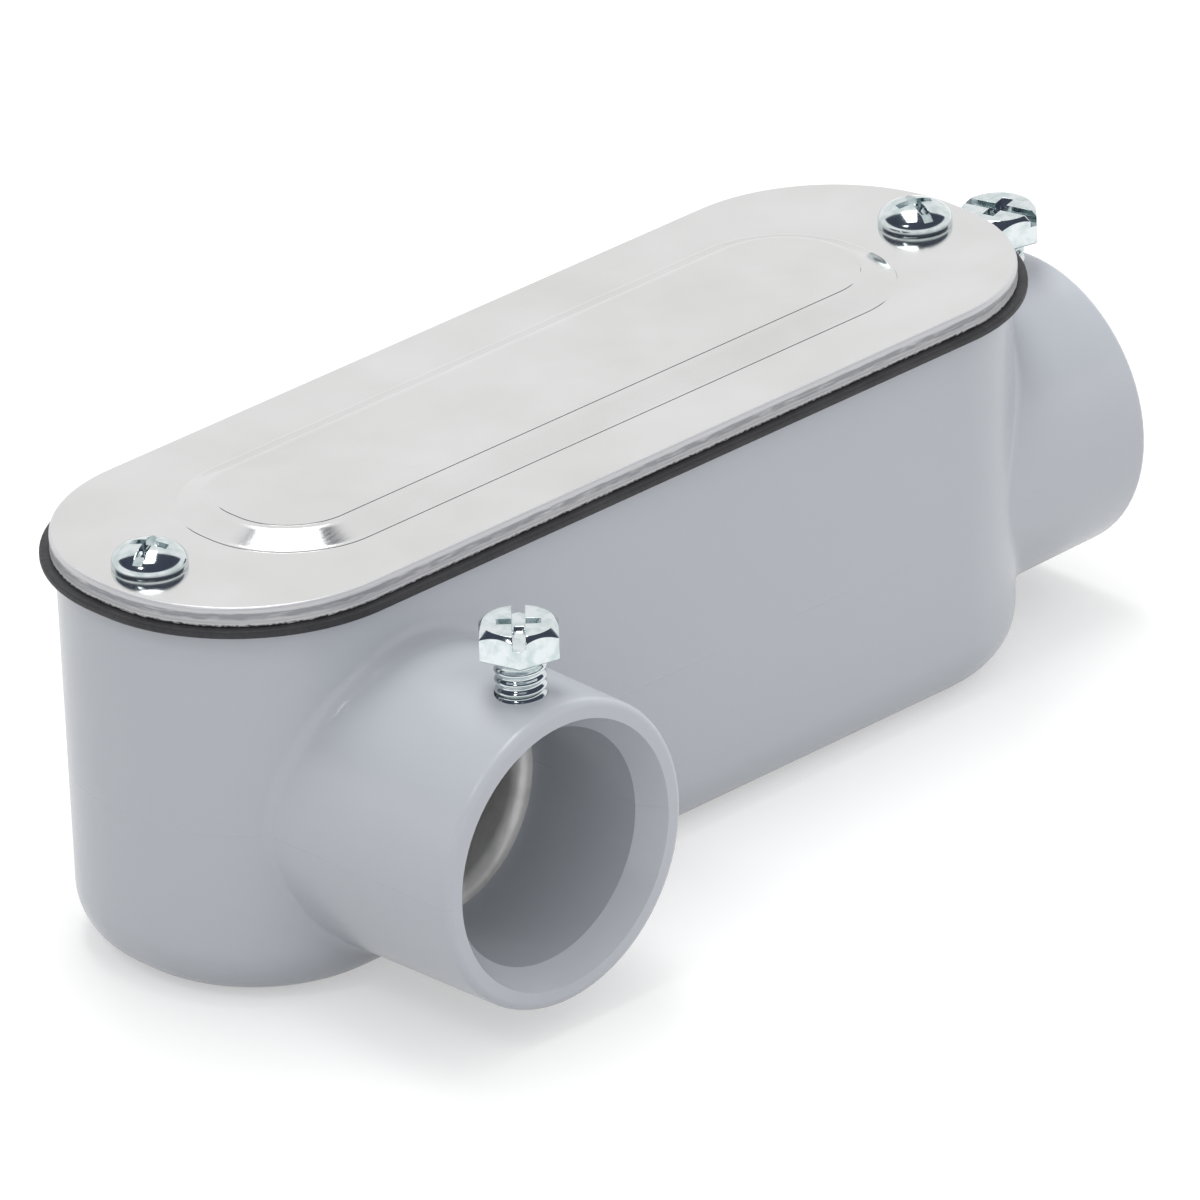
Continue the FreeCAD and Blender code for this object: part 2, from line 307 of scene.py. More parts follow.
@dataclass(frozen=True)
class ShearedEdge:
    """Edge of the blanked sheet: burnished where the punch went in, torn near its lower side. The tears' pits
    carry painted shade, and the burnished streaks a painted dark reflection.
    """

    colour: str = "#CBCBCE"
    # painted shade: the near-black colour of the tears stands in for the shadow in their pits
    pit_shade_colour: str = "#3C3D40"
    roughness: Pair = (0.36, 0.55)
    metallic: float = 0.3               # the rough tool marks scatter part of the light
    tear_spacing_mm: float = 0.55
    tear_flatness: float = 2.0          # how much wider a tear is than it is high
    torn_zone: Pair = (51.4 * MM, 52.1 * MM)        # heights in which the tears fade out
    burnished_reflection_colour: str = "#BCBDC1"   # painted dark reflection of the surroundings, tinting the middle, streaked zone
    burnished_foot: Pair = (52.0 * MM, 52.6 * MM)
    burnished_head: Pair = (53.1 * MM, 53.4 * MM)
    streak_spacing_mm: float = 2.2
    streak_flatness: float = 9.0

    def material(self) -> Material:
        """Builds the sheared edge's node material, with painted shade in the tears and a painted dark
        reflection on the burnished streaks.
        """
        material, tree = empty_material("sheared_aluminium_edge")
        height = height_up(tree)
        tears = grain(tree, self.tear_spacing_mm, 4.0, (1.0, 1.0, self.tear_flatness))
        # dark speckles in the torn zone: painted shade in the tears' pits
        depth = calculated(tree, "MULTIPLY", tears, ranged(tree, height, self.torn_zone, (0.62, 0.0)))
        colour = blended(tree, depth, (0.16, self.colour), (0.26, self.pit_shade_colour))
        # darker streaks in the burnished zone: real tool streaks, darkened as a painted reflection of dark
        # surroundings
        zone = calculated(tree, "MULTIPLY", ranged(tree, height, self.burnished_foot, (0.0, 1.0)),
                          ranged(tree, height, self.burnished_head, (1.0, 0.0)))
        streaks = grain(tree, self.streak_spacing_mm, 3.0, (1.0, 1.0, self.streak_flatness))
        reflection_share = calculated(tree, "MULTIPLY", streaks, zone)
        reflection_tint = blended(tree, reflection_share, (0.22, "#FFFFFF"), (0.5, self.burnished_reflection_colour))
        tinted = mixed(tree, 1.0, colour, reflection_tint, "MULTIPLY")
        roughness = ranged(tree, depth, (0.1, 0.26), self.roughness)
        return surfaced(material, tinted, roughness, bumped(tree, 0.5, 0.2, depth), Metallic=self.metallic)


@dataclass(frozen=True)
class ZincPlate:
    """Bright zinc electroplate on cold-headed steel: pale with a trace of blue-green, and hazy."""

    colour: str = "#DCE2E4"
    hazy_colour: str = "#C3CFD0"
    roughness: Pair = (0.15, 0.07)      # in the haze and between it
    haze_spacing_mm: float = 1.6

    def material(self) -> Material:
        """Builds the plating's node material."""
        material, tree = empty_material("bright_zinc_electroplate")
        haze = grain(tree, self.haze_spacing_mm, 3.0)
        colour = blended(tree, haze, (0.35, self.hazy_colour), (0.6, self.colour))
        roughness = ranged(tree, haze, (0.35, 0.65), self.roughness)
        ripples = bumped(tree, 0.06, 0.1, grain(tree, self.haze_spacing_mm / 2))
        return surfaced(material, colour, roughness, ripples, Metallic=1.0)


@dataclass(frozen=True)
class GasketRubber:
    """Die-cut neoprene sheet: near black and matt, with dusty cut edges."""

    colour: str = "#28282B"
    dusty_colour: str = "#333337"
    roughness: Pair = (0.55, 0.70)
    pore_spacing_mm: float = 0.5
    dust_spacing_mm: float = 5.0

    def material(self) -> Material:
        """Builds the rubber's node material."""
        material, tree = empty_material("die_cut_neoprene")
        pores = grain(tree, self.pore_spacing_mm, 3.0)
        dust = grain(tree, self.dust_spacing_mm, 3.0)
        colour = blended(tree, dust, (0.4, self.colour), (0.7, self.dusty_colour))
        roughness = ranged(tree, pores, (0.3, 0.7), self.roughness)
        return surfaced(material, colour, roughness, bumped(tree, 0.2, 0.08, pores), IOR=1.52)


def linked(name: str, data: ID) -> Object:
    """Puts a mesh, a lamp or a camera in the scene as an object at the origin."""
    holder = bpy.data.objects.new(name, data)
    bpy.context.scene.collection.objects.link(holder)
    return holder


def from_points(name: str, points: list, faces: list, weld: float = 1e-7, turn_out: bool = True) -> Object:
    """Makes an object from points in metres and faces.

    Args:
        name: The piece's name.
        points: The points.
        faces: Point numbers of each face.
        weld: Points nearer than this become one.
        turn_out: True to turn all faces outwards, and False where they already face out.

    Returns:
        The new object.
    """
    mesh = bpy.data.meshes.new(name)
    mesh.from_pydata(points, [], faces)
    shell = bmesh.new()
    shell.from_mesh(mesh)
    bmesh.ops.remove_doubles(shell, verts=shell.verts, dist=weld)
    if turn_out:
        bmesh.ops.recalc_face_normals(shell, faces=shell.faces)
    shell.to_mesh(mesh)
    shell.free()
    return linked(name, mesh)


def bake(piece: Object) -> None:
    """Turns a piece's modifiers into plain mesh and removes them."""
    bpy.context.view_layer.update()
    evaluated = piece.evaluated_get(bpy.context.evaluated_depsgraph_get())
    mesh = bpy.data.meshes.new_from_object(evaluated)
    mesh.name = piece.name
    piece.modifiers.clear()
    piece.data = mesh


def dress(piece: Object, *finishes: Material) -> None:
    """Gives a piece these materials and no others."""
    piece.data.materials.clear()
    for finish in finishes:
        piece.data.materials.append(finish)


def cut_away(piece: Object, cutters: list[Object]) -> None:
    """Subtracts each cutter from a piece and removes the cutters."""
    for cutter in cutters:
        cut = piece.modifiers.new("cut", "BOOLEAN")
        cut.operation = "DIFFERENCE"
        cut.solver = "EXACT"
        cut.object = cutter
        bake(piece)
        bpy.data.objects.remove(cutter)


def soften(piece: Object, sharp_degrees: float, bevel: float = 0.0, segments: int = 2,
           flatness: int = 90) -> None:
    """Shades a piece smooth, keeps its real edges and breaks them slightly.

    Args:
        piece: The piece, whose modifiers are baked.
        sharp_degrees: Faces that meet at more than this angle keep their edge.
        bevel: Width in metres of the broken edge, or 0 for none.
        segments: Faces across the broken edge.
        flatness: How strongly large faces keep their own normals, up to 100.
    """
    if bevel:
        broken = piece.modifiers.new("broken_edge", "BEVEL")
        broken.limit_method = "ANGLE"
        broken.angle_limit = math.radians(sharp_degrees)
        broken.width = bevel
        broken.segments = segments
        bake(piece)
    piece.data.shade_smooth()
    piece.data.set_sharp_from_angle(angle=math.radians(sharp_degrees))
    weighted = piece.modifiers.new("flat_faces_stay_flat", "WEIGHTED_NORMAL")
    weighted.keep_sharp = True
    weighted.weight = flatness
    bake(piece)


def settle(piece: Object, body: Body, slot: Slot, *nodes: str) -> None:
    """Makes a finished piece ride on its body and stand for its CAD nodes."""
    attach(piece, body.value)
    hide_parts(*nodes)
    triangles = sum(len(face.vertices) - 2 for face in piece.data.polygons)
    log.info("%s rides on %s, %d triangles", piece.name, body.value, triangles)


@dataclass(frozen=True)
class Outline:
    """Round-cornered rectangle centred on the Z axis, in metres."""

    half_length: float
    half_width: float
    corner: float

    def inset(self, distance: float) -> "Outline":
        """The outline moved inwards by a distance."""
        return Outline(self.half_length - distance, self.half_width - distance, self.corner - distance)

    def holds(self, point: Vector) -> bool:
        """Tells whether a point lies inside the outline, seen from above."""
        over_x = max(abs(point.x) - (self.half_length - self.corner), 0.0)
        over_y = max(abs(point.y) - (self.half_width - self.corner), 0.0)
        return math.hypot(over_x, over_y) < self.corner

    def ring(self, height: float, steps: int = 24) -> list[Point]:
        """Points around the outline at a height, with the same number for any outline.

        Args:
            height: The ring's z.
            steps: Faces in each rounded corner.

        Returns:
            Points in order, anticlockwise from above.
        """
        points = []
        for quarter, (side_x, side_y) in enumerate(((1, 1), (-1, 1), (-1, -1), (1, -1))):
            centre_x = side_x * (self.half_length - self.corner)
            centre_y = side_y * (self.half_width - self.corner)
            for step in range(steps + 1):
                angle = (quarter + step / steps) * math.pi / 2
                points.append((centre_x + self.corner * math.cos(angle),
                               centre_y + self.corner * math.sin(angle), height))
        return points


def loft(name: str, rings: list[list[Point]], closed: bool) -> Object:
    """Skins rings that have the same number of points.

    Args:
        name: The piece's name.
        rings: The rings in order.
        closed: True if the last ring joins the first, as round a hole, and False if both ends are capped.

    Returns:
        The new object, with its faces outwards.
    """
    count = len(rings[0])
    points = [point for ring in rings for point in ring]
    faces = []
    for level in range(len(rings) if closed else len(rings) - 1):
        low = level * count
        high = (level + 1) % len(rings) * count
        for step in range(count):
            after = (step + 1) % count
            faces.append((low + step, low + after, high + after, high + step))
    if not closed:
        faces.append(tuple(range(count)))
        faces.append(tuple(range(len(points) - count, len(points))))
    return from_points(name, points, faces)


def circle(radius: float, height: float, sides: int) -> list[Point]:
    """Points around the Z axis at a height."""
    angles = [2 * math.pi * step / sides for step in range(sides)]
    return [(radius * math.cos(angle), radius * math.sin(angle), height) for angle in angles]


def screw_hole_cutters(bottom: float, top: float, sides: int = 48) -> list[Object]:
    """Makes an upright round cutter for each cover screw, a little longer than from bottom to top."""
    cutters = []
    for node in COVER_SCREWS:
        low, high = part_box(node)
        centre = (low + high) / 2
        rings = [[(centre.x + x, centre.y + y, z) for x, y, z in circle(COVER_SCREW_HOLE, height, sides)]
                 for height in (bottom - MM, top + MM)]
        cutters.append(loft("hole_cutter", rings, False))
    return cutters


def arc(centre: Pair, radius: float, start: float, end: float, steps: int) -> list[Pair]:
    """Points along a round in a section, from one angle to another in degrees."""
    across, up = centre
    angles = [math.radians(start + (end - start) * step / steps) for step in range(steps + 1)]
    return [(across + radius * math.cos(angle), up + radius * math.sin(angle)) for angle in angles]


@dataclass
class Casting:
    """The die-cast housing: drafted trough, two hubs with their stops, and the cover screw bosses."""

    socket_depth: float = 21.0 * MM
    bore_radius: float = 15.0 * MM
    corner: float = 21.4 * MM
    wall: float = 2.8 * MM
    wall_share: float = 0.6             # points further in than this share of the wall are in the trough
    floor_share: float = 0.9            # and so are points higher than this share of it
    draft_degrees: float = 1.5          # how fast the trough narrows downwards, at most
    rim_paint: float = 1.0 * MM         # how far the spray runs down inside the rim
    sharp_degrees: float = 28.0
    spray_slack: float = 0.1 * MM       # the spray's edge lies this far before a stop
    paint: PaintedCasting = PaintedCasting()
    bare: BareCasting = BareCasting()

    def __post_init__(self) -> None:
        """Reads the housing's box and its hub axes from the frame."""
        self.low, self.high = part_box("housing")
        mounts = {mount["name"]: Vector(mount["pos_m"]) for mount in frame["record"]["mounts"]}
        self.side_axis, self.end_axis = mounts["side_hub"], mounts["end_hub"]

    def build(self) -> Object:
        """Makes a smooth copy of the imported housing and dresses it.

        Returns:
            The casting, which stands for the CAD housing.
        """
        source = frame["nodes"]["housing"].data
        points = [tuple(vertex.co) for vertex in source.vertices]
        faces = [tuple(face.vertices) for face in source.polygons]
        piece = from_points("housing_casting", points, faces, WELD, turn_out=False)
        soften(piece, self.sharp_degrees)
        self.paint_over(piece)
        settle(piece, Body.CASTING, Slot.PAINT, "housing")
        return piece

    def unsprayed(self, point: Vector) -> bool:
        """Tells whether the spray didn't reach a point: past a conduit stop, or inside the trough."""
        near_axis = self.bore_radius + self.spray_slack / 2
        past_side_stop = (math.hypot(point.x - self.side_axis.x, point.z - self.side_axis.z) < near_axis
                          and self.low.y + self.socket_depth - self.spray_slack < point.y < 0)
        past_end_stop = (math.hypot(point.y, point.z - self.end_axis.z) < near_axis
                         and 0 < point.x < self.high.x - self.socket_depth + self.spray_slack)
        narrowing = (self.high.z - point.z) * math.tan(math.radians(self.draft_degrees))
        trough = Outline(-self.low.x, self.high.y, self.corner).inset(self.wall * self.wall_share + narrowing)
        in_trough = (trough.holds(point)
                     and self.wall * self.floor_share < point.z < self.high.z - self.rim_paint)
        return past_side_stop or past_end_stop or in_trough

    def paint_over(self, piece: Object) -> None:
        """Gives painted and bare faces their materials."""
        dress(piece, self.paint.material(), self.bare.material())
        bare_points = [self.unsprayed(vertex.co) for vertex in piece.data.vertices]
        for face in piece.data.polygons:
            face.material_index = int(all(bare_points[number] for number in face.vertices))


@dataclass
class Cover:
    """The blanked cover with its pressed raised panel and two screw holes."""

    corner: float = 22.0 * MM
    edge_round: float = 0.5 * MM
    edge_share: float = 0.04            # share of the edge's round, at its top, that is sheet and not edge
    under_bevel: Pair = (0.25 * MM, 0.08 * MM)      # in from the edge, and up
    burr_height: float = 0.35 * MM
    burr_groove: float = 0.05 * MM      # depth of the groove above the burr
    groove_heights: Point = (0.10 * MM, 0.22 * MM, 0.34 * MM)       # above the burr
    groove_lip: float = 0.02 * MM
    flat_rim: float = 0.3 * MM
    panel_half_length: float = 55.3 * MM
    panel_half_width: float = 13.9 * MM
    panel_corner: float = 13.2 * MM
    panel_slope: float = 4.4 * MM
    panel_rise: float = 1.5 * MM
    foot_share: float = 0.08            # share of the border's width that bends up
    shoulder_share: float = 0.25        # share of the border's width that bends level again
    slope_steps: int = 20
    crease: float = 0.06 * MM           # height and width of the crisp folds at the foot and the shoulder
    round_steps: int = 6
    upright_limit: float = 0.5          # a face stands upright if its normal's z is less than this
    sharp_degrees: float = 32.0
    sheet: MillAluminium = MillAluminium()
    edge: ShearedEdge = ShearedEdge()

    def slope(self, base: float) -> list[Pair]:
        """Section of the panel's border as (inset, height): crisp folds, with a smooth slope between."""
        shares = [step / self.slope_steps for step in range(self.slope_steps + 1)]
        rise = self.panel_rise - 2 * self.crease
        foot = base + self.crease
        border = [(share * self.panel_slope, foot + rise * self.eased(share)) for share in shares]
        return [(-self.crease, base)] + border + [(self.panel_slope + self.crease, base + self.panel_rise)]

    def eased(self, share: float) -> float:
        """Share of the panel's rise that is reached at a share of its border's width."""
        steepness = 1 / (1 - (self.foot_share + self.shoulder_share) / 2)
        if share < self.foot_share:
            return steepness * share * share / (2 * self.foot_share)
        if share > 1 - self.shoulder_share:
            return 1 - steepness * (1 - share) ** 2 / (2 * self.shoulder_share)
        return steepness * (share - self.foot_share / 2)

    def build(self) -> Object:
        """Makes the cover as rings from its underside round the edge to the middle of the panel.

        Returns:
            The cover, which stands for the CAD cover.
        """
        low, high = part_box("cover")
        bottom = low.z
        top = high.z - self.panel_rise
        outline = Outline(high.x, high.y, self.corner)
        panel = Outline(self.panel_half_length, self.panel_half_width, self.panel_corner)
        under = [panel.inset(across).ring(height) for across, height in reversed(self.slope(bottom))]
        bevel_in, bevel_up = self.under_bevel
        burr_top = bottom + self.burr_height
        section = [(bevel_in, bottom), (0.0, bottom + bevel_up), (0.0, burr_top)]
        section += [(across, burr_top + height) for across, height in
                    zip((self.burr_groove, self.burr_groove, self.groove_lip), self.groove_heights)]
        section += [(self.edge_round - across, height) for across, height in
                    arc((0.0, top - self.edge_round), self.edge_round, 0, 90, self.round_steps)]
        edge_rings = [outline.inset(across).ring(height) for across, height in section]
        flat_rim = outline.inset(section[-1][0] + self.flat_rim).ring(top)
        over = [panel.inset(across).ring(height) for across, height in self.slope(top)]
        piece = loft("cover_plate", under + edge_rings + [flat_rim] + over, False)
        cut_away(piece, screw_hole_cutters(bottom, top))
        soften(piece, self.sharp_degrees)
        dress(piece, self.sheet.material(), self.edge.material())
        for face in piece.data.polygons:
            upright = abs(face.normal.z) < self.upright_limit
            outside = bottom + self.groove_lip < face.center.z < top - self.edge_round * self.edge_share
            face.material_index = int(outside and (upright or face.center.z > top - self.edge_round))
        settle(piece, Body.CASTING, Slot.COVER, "cover")
        return piece


@dataclass
class Gasket:
    """The die-cut gasket between the housing's rim and the cover."""

    corner: float = 23.25 * MM
    window_half_length: float = 57.8 * MM
    window_half_width: float = 19.25 * MM
    window_corner: float = 9.0 * MM
    edge_round: float = 0.3 * MM
    round_steps: int = 3
    sharp_degrees: float = 32.0
    rubber: GasketRubber = GasketRubber()

    def build(self) -> Object:
        """Makes the gasket as a closed ring with slightly rounded outer edges.

        Returns:
            The gasket, which stands for the CAD gasket.
        """
        low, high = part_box("cover_gasket")
        outline = Outline(high.x, high.y, self.corner)
        window = Outline(self.window_half_length, self.window_half_width, self.window_corner)
        rounded = self.edge_round
        lower = arc((0.0, low.z + rounded), rounded, -90, 0, self.round_steps)
        upper = arc((0.0, high.z - rounded), rounded, 0, 90, self.round_steps)
        section = [(rounded - across, height) for across, height in lower + upper]
        rings = [outline.inset(across).ring(height) for across, height in section]
        rings += [window.ring(high.z), window.ring(low.z)]
        piece = loft("cover_gasket_rubber", rings, True)
        cut_away(piece, screw_hole_cutters(low.z, high.z))
        soften(piece, self.sharp_degrees)
        dress(piece, self.rubber.material())
        settle(piece, Body.CASTING, Slot.RUBBER, "cover_gasket")
        return piece


@dataclass
class ThreadedShank:
    """A rolled thread with its chamfered point, made by Geometry Nodes from its sizes."""

    length: float
    crest_radius: float
    pitch: float
    depth_share: float = 0.38           # thread depth as a share of the pitch
    point_chamfer: float = 0.8 * MM
    sides: int = 48
    rows_per_turn: int = 10
    sharp_degrees: float = 70.0

    FLOATS = ("Length", "Crest Radius", "Pitch", "Thread Depth", "Point Chamfer")
    COUNTS = ("Sides", "Rows Per Turn")
    ROOT_SHARE = 0.12                   # flat of the root, as a share of half a pitch
    CREST_START = 0.84                  # where the flat of the crest begins, from the root

    @staticmethod
    def tree() -> NodeTree:
        """Builds the shank's node tree once, or returns the one already built."""
        known = bpy.data.node_groups.get("threaded_shank")
        if known:
            return known
        tree = bpy.data.node_groups.new("threaded_shank", "GeometryNodeTree")
        for name in ThreadedShank.FLOATS:
            tree.interface.new_socket(name=name, in_out="INPUT", socket_type="NodeSocketFloat")
        for name in ThreadedShank.COUNTS:
            tree.interface.new_socket(name=name, in_out="INPUT", socket_type="NodeSocketInt")
        tree.interface.new_socket(name="Finish", in_out="INPUT", socket_type="NodeSocketMaterial")
        tree.interface.new_socket(name="Shank", in_out="OUTPUT", socket_type="NodeSocketGeometry")
        given = tree.nodes.new("NodeGroupInput").outputs

        maths, add = partial(calculated, tree), partial(add_node, tree)
        turns = maths("ADD", maths("DIVIDE", given["Length"], given["Pitch"]), 2.0)
        steps = maths("MULTIPLY", turns, given["Sides"])
        rows = maths("ADD", given["Rows Per Turn"], 1.0)
        strip = add("GeometryNodeMeshGrid", {"Vertices X": steps, "Vertices Y": rows})
        number = add("GeometryNodeInputIndex").outputs[0]
        step = maths("FLOOR", maths("DIVIDE", maths("ADD", number, 0.5), rows))
        row = maths("SUBTRACT", number, maths("MULTIPLY", step, rows))
        share = maths("DIVIDE", row, given["Rows Per Turn"])
        round_part = maths("DIVIDE", step, given["Sides"])
        fall = maths("MULTIPLY", maths("SUBTRACT", maths("ADD", round_part, share), 1.0), given["Pitch"])
        depth_below = maths("MINIMUM", maths("MAXIMUM", fall, 0.0), given["Length"])
        off_root = maths("ABSOLUTE", maths("SUBTRACT", maths("MULTIPLY", share, 2.0), 1.0))
        flats = (ThreadedShank.ROOT_SHARE, ThreadedShank.CREST_START)
        groove = ranged(tree, off_root, flats, (given["Thread Depth"], 0.0))
        above_point = maths("SUBTRACT", given["Length"], depth_below)
        chamfer = maths("MAXIMUM", maths("SUBTRACT", given["Point Chamfer"], above_point), 0.0)
        across = maths("SUBTRACT", given["Crest Radius"], maths("MAXIMUM", groove, chamfer))
        angle = maths("MULTIPLY", round_part, -2 * math.pi)
        moved = add("ShaderNodeCombineXYZ", {"X": maths("MULTIPLY", maths("COSINE", angle), across),
                                             "Y": maths("MULTIPLY", maths("SINE", angle), across),
                                             "Z": maths("MULTIPLY", depth_below, -1.0)})
        wound = add("GeometryNodeSetPosition", {"Geometry": strip.outputs[0], "Position": moved.outputs[0]})
        radius = maths("SUBTRACT", given["Crest Radius"], given["Point Chamfer"])
        tip = add("GeometryNodeMeshCircle", {"Vertices": given["Sides"], "Radius": radius}, fill_type="NGON")
        foot = add("ShaderNodeCombineXYZ", {"Z": maths("MULTIPLY", given["Length"], -1.0)})
        capped = add("GeometryNodeTransform", {"Geometry": tip.outputs[0], "Translation": foot.outputs[0]})
        both = add("GeometryNodeJoinGeometry", {"Geometry": wound.outputs[0]})
        tree.links.new(capped.outputs[0], both.inputs["Geometry"])
        shaped = add("GeometryNodeMergeByDistance", {"Geometry": both.outputs[0], "Distance": WELD})
        plain = add("GeometryNodeRealizeInstances", {"Geometry": shaped.outputs[0]})
        dressed = add("GeometryNodeSetMaterial", {"Geometry": plain.outputs[0], "Material": given["Finish"]})
        add("NodeGroupOutput", {"Shank": dressed.outputs[0]})
        return tree

    def build(self, finish: Material) -> Object:
        """Runs the tree for this shank's sizes.

        Args:
            finish: The plating's material.

        Returns:
            A plain mesh object with the shank from z = 0 down.
        """
        shank = linked("shank", bpy.data.meshes.new("shank"))
        modifier = shank.modifiers.new("thread", "NODES")
        tree = self.tree()
        modifier.node_group = tree
        values = {"Length": self.length, "Crest Radius": self.crest_radius, "Pitch": self.pitch,
                  "Thread Depth": self.pitch * self.depth_share, "Point Chamfer": self.point_chamfer,
                  "Sides": self.sides, "Rows Per Turn": self.rows_per_turn, "Finish": finish}
        for socket in tree.interface.items_tree:
            if socket.in_out == "INPUT":
                modifier[socket.identifier] = values[socket.name]
        bake(shank)
        soften(shank, self.sharp_degrees)
        return shank


def joined(name: str, parts: list[Object], turn: float, place: Vector) -> Object:
    """Joins parts into one piece, turned about Z in degrees and moved to its place."""
    shell = bmesh.new()
    for part in parts:
        shell.from_mesh(part.data)
    mesh = bpy.data.meshes.new(name)
    matrix = Matrix.Translation(place) @ Matrix.Rotation(math.radians(turn), 4, "Z")
    bmesh.ops.transform(shell, matrix=matrix, verts=shell.verts)
    shell.to_mesh(mesh)
    shell.free()
    for part in parts:
        bpy.data.objects.remove(part)
    return linked(name, mesh)


@dataclass(frozen=True)
class Drive:
    """Combination drive: a slot right across the head and a tapered cross recess in its middle."""

    slot_width: float = 1.2 * MM
    slot_depth: float = 1.3 * MM
    slot_span: float = 13.95 * MM       # right across the head and past it
    cross_span: float = 5.2 * MM
    cross_width: float = 1.25 * MM
    cross_depth: float = 2.0 * MM
    cross_taper: float = 0.45           # span at the bottom as a share of the span at the top
    spare: float = 0.5 * MM             # how far a cutter stands above the head

    def bar(self, top: float, depth: float, span: float, width: float, taper: float, across: bool) -> Object:
        """Makes one bar of the drive as a cutter, whose width narrows half as much as its span."""
        rings = []
        for height, share in ((top - depth, taper), (top, 1.0), (top + self.spare, 1.0)):
            half_x, half_y = span / 2 * share, width / 2 * (0.5 + 0.5 * share)
            corners = [(half_x, half_y), (-half_x, half_y), (-half_x, -half_y), (half_x, -half_y)]
            if across:
                corners = [(-y, x) for x, y in corners]
            rings.append([(x, y, height) for x, y in corners])
        return loft("drive_cutter", rings, False)

    def cutters(self, top: float) -> list[Object]:
        """Makes the slot and both arms of the cross for a head that ends at top."""
        slot = self.bar(top, self.slot_depth, self.slot_span, self.slot_width, 1.0, False)
        arms = [self.bar(top, self.cross_depth, self.cross_span, self.cross_width, self.cross_taper, across)
                for across in (True, False)]
        return [slot] + arms


@dataclass
class Screw:
    """What both kinds of screw share: a head with a drive, on a threaded shank."""

    node: str
    body: Body
    turn: float                         # degrees about the screw's axis
    shank_length: float = 10.0 * MM
    shank_radius: float = 3.0 * MM
    pitch: float = 1.0 * MM
    sharp_degrees: float = 30.0
    broken_edge: float = 0.1 * MM
    drive: Drive = Drive()

    def head(self, height: float) -> Object:
        """Makes the head, standing on z = 0; each kind of screw has its own."""
        raise NotImplementedError

    def build(self, finish: Material) -> Object:
        """Makes the head and the shank, joins them and puts the screw in its place.

        Args:
            finish: The plating's material.

        Returns:
            The screw, which stands for its CAD node.
        """
        low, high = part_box(self.node)
        centre = (low + high) / 2
        seat = low.z + self.shank_length
        height = high.z - seat
        head = self.head(height)
        cut_away(head, self.drive.cutters(height))
        soften(head, self.sharp_degrees, self.broken_edge)
        shank = ThreadedShank(self.shank_length, self.shank_radius, self.pitch).build(finish)
        piece = joined(self.node + "_zinc", [head, shank], self.turn, Vector((centre.x, centre.y, seat)))
        dress(piece, finish)
        settle(piece, self.body, Slot.ZINC, self.node)
        return piece


@dataclass
class CoverScrew(Screw):
    """Number 10 pan-head machine screw with a combination drive."""

    shank_length: float = 9.5 * MM
    shank_radius: float = 2.41 * MM
    pitch: float = 0.794 * MM
    side_height: float = 0.55 * MM
    dome_steps: int = 18
    under_round: float = 0.15 * MM
    under_steps: int = 3
    flat_top: float = 0.05 * MM
    sides: int = 72
    sharp_degrees: float = 35.0
    broken_edge: float = 0.06 * MM

    def head(self, height: float) -> Object:
        """Lathes the domed head, standing on z = 0."""
        low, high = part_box(self.node)
        radius = (high.x - low.x) / 2
        rounded = self.under_round
        section = arc((radius - rounded, rounded), rounded, -90, 0, self.under_steps)
        dome = height - self.side_height
        for step in range(self.dome_steps):
            angle = math.pi / 2 * step / self.dome_steps
            section.append((radius * math.cos(angle), self.side_height + dome * math.sin(angle)))
        section.append((self.flat_top, height))
        return loft("head", [circle(across, up, self.sides) for across, up in section], False)


@dataclass
class SetScrew(Screw):
    """Quarter-inch set screw with a slotted hexagon head, which clamps the tubing in its hub."""

    shank_length: float = 8.3 * MM
    shank_radius: float = 3.175 * MM
    pitch: float = 1.27 * MM
    flats: float = 9.5 * MM
    crown_share: float = 0.455          # radius of the flat crown as a share of the distance over flats
    crown_degrees: float = 45.0
    under_chamfer: float = 0.2 * MM
    side_steps: int = 12                # points along each side of the hexagon
    sharp_degrees: float = 25.0
    broken_edge: float = 0.08 * MM
    drive: Drive = Drive(slot_width=1.6 * MM, slot_depth=1.5 * MM, slot_span=14.25 * MM,
                         cross_span=5.4 * MM, cross_width=1.5 * MM)

    def head(self, height: float) -> Object:
        """Makes the hexagon with its turned crown, standing on z = 0, a corner towards +X."""
        apothem = self.flats / 2
        crown_radius = self.flats * self.crown_share
        fall = math.tan(math.radians(self.crown_degrees))
        rings = [[], [], [], []]
        for step in range(6 * self.side_steps):
            angle = 2 * math.pi * step / (6 * self.side_steps)
            off_flat = (angle + math.pi / 6) % (math.pi / 3) - math.pi / 6
            reach = apothem / math.cos(math.pi / 6 - abs(off_flat))
            lower = reach - self.under_chamfer
            shoulder = height - max(reach - crown_radius, 0.0) * fall
            for ring, (across, up) in zip(rings, ((lower, 0.0), (reach, self.under_chamfer),
                                                  (reach, shoulder), (min(reach, crown_radius), height))):
                ring.append((across * math.cos(angle), across * math.sin(angle), up))
        return loft("head", rings, False)


def placed(place: Vector, axes: tuple[Vector, Vector, Vector]) -> Matrix:
    """The matrix that puts an object at a place, with its own X, Y and Z along these axes."""
    return Matrix.Translation(place) @ Matrix(axes).transposed().to_4x4()


